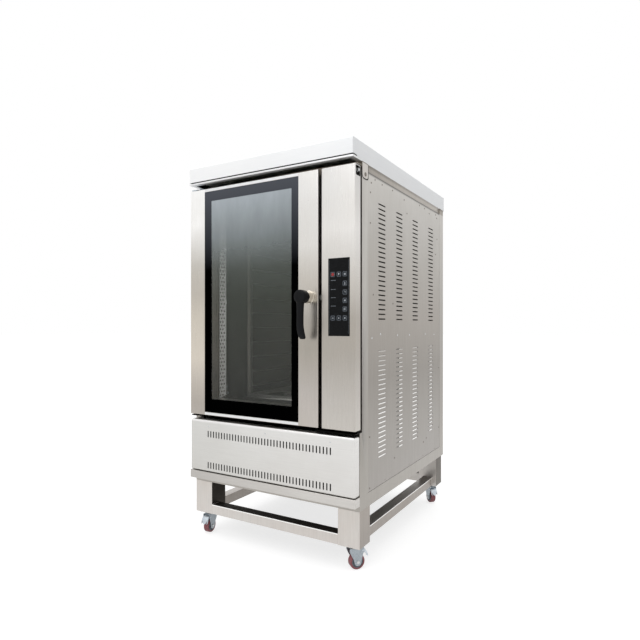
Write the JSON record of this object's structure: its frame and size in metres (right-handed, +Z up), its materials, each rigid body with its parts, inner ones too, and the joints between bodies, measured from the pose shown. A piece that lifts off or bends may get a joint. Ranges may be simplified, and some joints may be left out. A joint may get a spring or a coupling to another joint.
{
  "type": "rotating rack oven",
  "caption": "Stainless hot-air oven on a caster stand, with a glazed swinging door, a rack that turns inside, a hinged control panel, louvred sides and a canopy.",
  "frame": {"origin": "on the floor, under the middle of the whole oven's box in plan", "axes": "+Z up, front towards -Y with the door, +X towards the control panel"},
  "size_m": [1.0182, 1.417, 2.015],
  "materials": {
    "brushed_steel": "satin",
    "side_steel": "satin",
    "canopy": "satin",
    "cover_steel": "satin",
    "liner_steel": "satin",
    "zinc": "zinc plated",
    "barrel_steel": "polished",
    "black_plastic": "satin",
    "overlay": "satin",
    "key": "matte",
    "red_key": "matte",
    "caster_wheel": "polyurethane",
    "glass": "clear with a printed border",
    "inner_glass": "clear",
    "wool": "mineral wool",
    "seal": "silicone",
    "motor": "enamel",
    "heater": "oxidised"
  },
  "bodies": {
    "cabinet": {"stand_frame": "brushed_steel", "chassis_frame": "side_steel", "front_frame": "side_steel", "chamber_liner": "liner_steel", "insulation_jacket": "wool", "side_panel_left": "side_steel", "side_panel_right": "side_steel", "rear_panel": "side_steel", "hood": "canopy", "front_cover": "cover_steel", "front_apron": "brushed_steel", "air_baffle_left": "liner_steel", "air_baffle_right": "liner_steel", "fan_baffle": "liner_steel", "fan_motor_lower": "motor", "fan_motor_upper": "motor", "heater_coil": "heater", "rack_gearmotor": "motor", "electrics_plate": "zinc", "door_hinge_upper": "zinc", "door_hinge_lower": "zinc", "caster_plate_front_left": "zinc", "caster_plate_front_right": "zinc", "caster_plate_rear_left": "zinc", "caster_plate_rear_right": "zinc"},
    "door": {"door_frame": "brushed_steel", "door_glass_outer": "glass", "door_glass_inner": "inner_glass", "door_gasket": "seal", "handle_barrel": "barrel_steel"},
    "latch_handle": {"handle_lever": "black_plastic", "latch_cam": "zinc"},
    "control_panel": {"control_box": "brushed_steel", "control_overlay": "overlay"},
    "rack": {"rack_frame": "liner_steel", "rack_turntable": "liner_steel"},
    "fan_lower": {"fan_wheel_lower": "zinc"},
    "fan_upper": {"fan_wheel_upper": "zinc"},
    "fork_front_left": {"caster_fork_front_left": "zinc"},
    "wheel_front_left": {"caster_wheel_front_left": "caster_wheel"},
    "pedal_front_left": {"caster_pedal_front_left": "zinc"},
    "fork_front_right": {"caster_fork_front_right": "zinc"},
    "wheel_front_right": {"caster_wheel_front_right": "caster_wheel"},
    "pedal_front_right": {"caster_pedal_front_right": "zinc"},
    "fork_rear_left": {"caster_fork_rear_left": "zinc"},
    "wheel_rear_left": {"caster_wheel_rear_left": "caster_wheel"},
    "pedal_rear_left": {"caster_pedal_rear_left": "zinc"},
    "fork_rear_right": {"caster_fork_rear_right": "zinc"},
    "wheel_rear_right": {"caster_wheel_rear_right": "caster_wheel"},
    "pedal_rear_right": {"caster_pedal_rear_right": "zinc"},
    "key_power": {"key_power": "red_key"},
    "key_lamp": {"key_lamp": "key"},
    "key_vent": {"key_vent": "key"},
    "key_temperature": {"key_temperature": "key"},
    "key_time": {"key_time": "key"},
    "key_steam": {"key_steam": "key"},
    "key_rack": {"key_rack": "key"},
    "key_minus": {"key_minus": "key"},
    "key_set": {"key_set": "key"},
    "key_plus": {"key_plus": "key"}
  },
  "joints": [
    {"name": "door_swing", "type": "hinge", "parent": "cabinet", "child": "door", "pos_m": [-0.49, -0.5995, 1.285], "axis": [0, 0, -1], "range_deg": [0, 120]},
    {"name": "handle_turn", "type": "hinge", "parent": "door", "child": "latch_handle", "pos_m": [0.2585, -0.6235, 1.291], "axis": [0, 1, 0], "range_deg": [0, 90]},
    {"name": "control_panel_swing", "type": "hinge", "parent": "cabinet", "child": "control_panel", "pos_m": [0.492, -0.5855, 1.285], "axis": [0, 0, 1], "range_deg": [0, 100]},
    {"name": "rack_spin", "type": "hinge", "parent": "cabinet", "child": "rack", "pos_m": [-0.049, -0.1175, 1.29], "axis": [0, 0, 1], "continuous": true},
    {"name": "fan_lower_spin", "type": "hinge", "parent": "cabinet", "child": "fan_lower", "pos_m": [-0.049, 0.3625, 1.005], "axis": [0, 1, 0], "continuous": true},
    {"name": "fan_upper_spin", "type": "hinge", "parent": "cabinet", "child": "fan_upper", "pos_m": [-0.049, 0.3625, 1.575], "axis": [0, 1, 0], "continuous": true},
    {"name": "swivel_front_left", "type": "hinge", "parent": "cabinet", "child": "fork_front_left", "pos_m": [-0.451, -0.5225, 0.105], "axis": [0, 0, 1], "continuous": true},
    {"name": "roll_front_left", "type": "hinge", "parent": "fork_front_left", "child": "wheel_front_left", "pos_m": [-0.44943, -0.5344, 0.0375], "axis": [0.9914, 0.1305, 0], "continuous": true},
    {"name": "brake_front_left", "type": "hinge", "parent": "fork_front_left", "child": "pedal_front_left", "pos_m": [-0.4463, -0.55819, 0.092], "axis": [0.9914, 0.1305, 0], "range_deg": [0, 12]},
    {"name": "swivel_front_right", "type": "hinge", "parent": "cabinet", "child": "fork_front_right", "pos_m": [0.451, -0.5225, 0.105], "axis": [0, 0, 1], "continuous": true},
    {"name": "roll_front_right", "type": "hinge", "parent": "fork_front_right", "child": "wheel_front_right", "pos_m": [0.45865, -0.51325, 0.0375], "axis": [-0.7705, 0.6374, 0], "continuous": true},
    {"name": "brake_front_right", "type": "hinge", "parent": "fork_front_right", "child": "pedal_front_right", "pos_m": [0.47395, -0.49476, 0.092], "axis": [-0.7705, 0.6374, 0], "range_deg": [0, 12]},
    {"name": "swivel_rear_left", "type": "hinge", "parent": "cabinet", "child": "fork_rear_left", "pos_m": [-0.451, 0.5805, 0.105], "axis": [0, 0, 1], "continuous": true},
    {"name": "roll_rear_left", "type": "hinge", "parent": "fork_rear_left", "child": "wheel_rear_left", "pos_m": [-0.457, 0.59089, 0.0375], "axis": [-0.866, -0.5, 0], "continuous": true},
    {"name": "brake_rear_left", "type": "hinge", "parent": "fork_rear_left", "child": "pedal_rear_left", "pos_m": [-0.469, 0.61168, 0.092], "axis": [-0.866, -0.5, 0], "range_deg": [0, 12]},
    {"name": "swivel_rear_right", "type": "hinge", "parent": "cabinet", "child": "fork_rear_right", "pos_m": [0.451, 0.5805, 0.105], "axis": [0, 0, 1], "continuous": true},
    {"name": "roll_rear_right", "type": "hinge", "parent": "fork_rear_right", "child": "wheel_rear_right", "pos_m": [0.45972, 0.57225, 0.0375], "axis": [0.6871, 0.7266, 0], "continuous": true},
    {"name": "brake_rear_right", "type": "hinge", "parent": "fork_rear_right", "child": "pedal_rear_right", "pos_m": [0.47716, 0.55576, 0.092], "axis": [0.6871, 0.7266, 0], "range_deg": [0, 12]},
    {"name": "press_key_power", "type": "slide", "parent": "control_panel", "child": "key_power", "axis": [0, 1, 0], "range_m": [0, 0.0006], "stiffness_N_per_m": 400},
    {"name": "press_key_lamp", "type": "slide", "parent": "control_panel", "child": "key_lamp", "axis": [0, 1, 0], "range_m": [0, 0.0006], "stiffness_N_per_m": 400},
    {"name": "press_key_vent", "type": "slide", "parent": "control_panel", "child": "key_vent", "axis": [0, 1, 0], "range_m": [0, 0.0006], "stiffness_N_per_m": 400},
    {"name": "press_key_temperature", "type": "slide", "parent": "control_panel", "child": "key_temperature", "axis": [0, 1, 0], "range_m": [0, 0.0006], "stiffness_N_per_m": 400},
    {"name": "press_key_time", "type": "slide", "parent": "control_panel", "child": "key_time", "axis": [0, 1, 0], "range_m": [0, 0.0006], "stiffness_N_per_m": 400},
    {"name": "press_key_steam", "type": "slide", "parent": "control_panel", "child": "key_steam", "axis": [0, 1, 0], "range_m": [0, 0.0006], "stiffness_N_per_m": 400},
    {"name": "press_key_rack", "type": "slide", "parent": "control_panel", "child": "key_rack", "axis": [0, 1, 0], "range_m": [0, 0.0006], "stiffness_N_per_m": 400},
    {"name": "press_key_minus", "type": "slide", "parent": "control_panel", "child": "key_minus", "axis": [0, 1, 0], "range_m": [0, 0.0006], "stiffness_N_per_m": 400},
    {"name": "press_key_set", "type": "slide", "parent": "control_panel", "child": "key_set", "axis": [0, 1, 0], "range_m": [0, 0.0006], "stiffness_N_per_m": 400},
    {"name": "press_key_plus", "type": "slide", "parent": "control_panel", "child": "key_plus", "axis": [0, 1, 0], "range_m": [0, 0.0006], "stiffness_N_per_m": 400}
  ]
}
